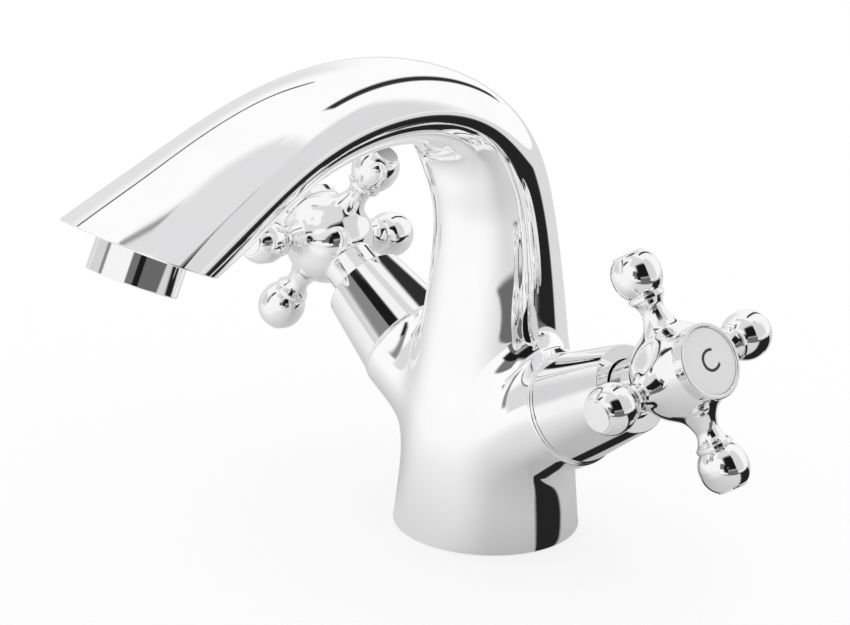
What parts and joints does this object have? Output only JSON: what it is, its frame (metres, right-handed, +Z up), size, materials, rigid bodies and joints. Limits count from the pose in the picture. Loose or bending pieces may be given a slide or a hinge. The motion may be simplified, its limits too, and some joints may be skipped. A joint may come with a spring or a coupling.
{
  "type": "basin mixer tap",
  "caption": "Deck-mounted chrome basin mixer with an arched flat spout, two tilted valves and cross handles with ball-ended arms.",
  "frame": {"origin": "middle of the round base where it stands on the deck", "axes": "+Z up, the spout reaches towards -Y, the cold valve leans out to +X and the hot valve to -X"},
  "size_m": [0.174, 0.1622, 0.1343],
  "materials": {
    "body_chrome": "polished chrome plate on a brass casting",
    "handle_chrome": "polished chrome plate on a cast handle",
    "trim_chrome": "polished chrome plate on turned brass",
    "raw_brass": "machined, unplated",
    "black_rubber": "smooth nitrile rubber",
    "white_plastic": "moulded, fine satin",
    "ptfe": "smooth low-friction plastic",
    "steel_screen": "perforated stainless steel",
    "spring_steel": "stainless spring steel",
    "screw_steel": "zinc-plated steel",
    "valve_ceramic": "lapped alumina",
    "index_white": "white enamelled disc"
  },
  "bodies": {
    "mixer": {"mixer_body": "body_chrome", "base_seal": "black_rubber", "aerator_shell": "trim_chrome", "aerator_washer": "black_rubber", "aerator_insert": "white_plastic", "aerator_screen": "steel_screen", "cold_valve_housing": "raw_brass", "cold_housing_oring": "black_rubber", "cold_seat_washer": "black_rubber", "cold_fixed_disc": "valve_ceramic", "cold_thrust_washer": "ptfe", "cold_sleeve": "trim_chrome", "hot_valve_housing": "raw_brass", "hot_housing_oring": "black_rubber", "hot_seat_washer": "black_rubber", "hot_fixed_disc": "valve_ceramic", "hot_thrust_washer": "ptfe", "hot_sleeve": "trim_chrome"},
    "cold_handle": {"cold_handle_cross": "handle_chrome", "cold_spindle": "raw_brass", "cold_turning_disc": "valve_ceramic", "cold_stem_orings": "black_rubber", "cold_retaining_clip": "spring_steel", "cold_handle_screw": "screw_steel", "cold_index_cap": "trim_chrome", "cold_index_disc": "index_white"},
    "hot_handle": {"hot_handle_cross": "handle_chrome", "hot_spindle": "raw_brass", "hot_turning_disc": "valve_ceramic", "hot_stem_orings": "black_rubber", "hot_retaining_clip": "spring_steel", "hot_handle_screw": "screw_steel", "hot_index_cap": "trim_chrome", "hot_index_disc": "index_white"}
  },
  "joints": [
    {"name": "cold_handle_turn", "type": "hinge", "parent": "mixer", "child": "cold_handle", "pos_m": [0, 0, 0.02345], "axis": [-0.866, 0, -0.5], "range_deg": [0, 90]},
    {"name": "hot_handle_turn", "type": "hinge", "parent": "mixer", "child": "hot_handle", "pos_m": [0, 0, 0.02345], "axis": [-0.866, 0, 0.5], "range_deg": [0, 90]}
  ]
}
